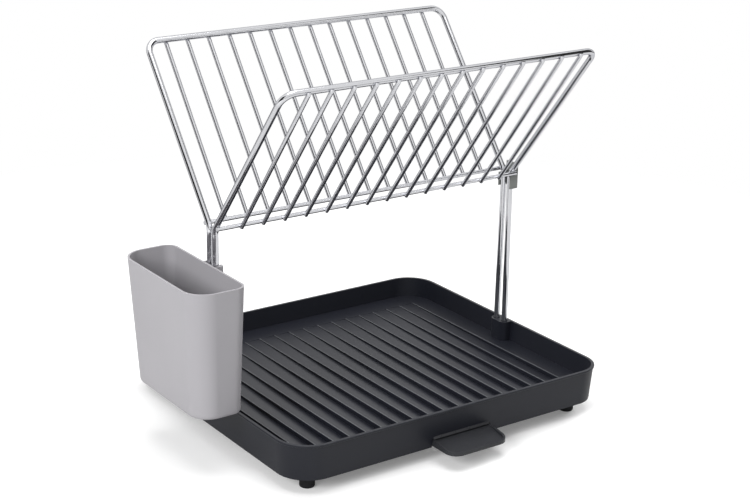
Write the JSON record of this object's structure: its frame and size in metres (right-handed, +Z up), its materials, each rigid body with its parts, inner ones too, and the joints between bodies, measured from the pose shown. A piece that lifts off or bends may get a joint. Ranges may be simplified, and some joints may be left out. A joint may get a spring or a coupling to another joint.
{
  "type": "dish rack",
  "caption": "Tiered dish rack: V-shaped wire plate rack standing in a grooved draining tray with a pull-out spout and a hung cutlery holder.",
  "frame": {"origin": "middle of the whole outline seen from above, on the ground under the feet", "axes": "+X along the long side from the cutlery holder to the clip, +Y from the spout's side to the back, +Z up"},
  "size_m": [0.4278, 0.3508, 0.3685],
  "materials": {
    "chrome_wire": "polished",
    "tray_plastic": "fine matte",
    "holder_plastic": "satin",
    "clip_plastic": "satin",
    "foot_rubber": "matte"
  },
  "bodies": {
    "tray": {"drainer_tray": "tray_plastic", "foot_front_left": "foot_rubber", "foot_front_right": "foot_rubber", "foot_back_left": "foot_rubber", "foot_back_right": "foot_rubber"},
    "spout": {"drain_spout": "tray_plastic"},
    "rack": {"front_top_rail": "chrome_wire", "front_left_arm": "chrome_wire", "front_right_arm": "chrome_wire", "front_left_leg": "chrome_wire", "front_right_leg": "chrome_wire", "front_lower_rail": "chrome_wire", "front_plate_wires": "chrome_wire", "back_top_rail": "chrome_wire", "back_left_arm": "chrome_wire", "back_right_arm": "chrome_wire", "back_left_leg": "chrome_wire", "back_right_leg": "chrome_wire", "back_lower_rail": "chrome_wire", "back_plate_wires": "chrome_wire"},
    "clip": {"junction_clip": "clip_plastic"},
    "holder": {"cutlery_holder": "holder_plastic"}
  },
  "joints": [
    {"name": "spout_slide", "type": "slide", "parent": "tray", "child": "spout", "axis": [0, 1, 0], "range_m": [0, 0.025]},
    {"name": "rack_lift", "type": "slide", "parent": "tray", "child": "rack", "axis": [0, 0, 1], "range_m": [0, 0.03]},
    {"name": "clip_slide", "type": "slide", "parent": "rack", "child": "clip", "axis": [1, 0, 0], "range_m": [0, 0.02]},
    {"name": "holder_slide", "type": "slide", "parent": "rack", "child": "holder", "axis": [0, 0, 1], "range_m": [-0.01, 0.025]}
  ]
}
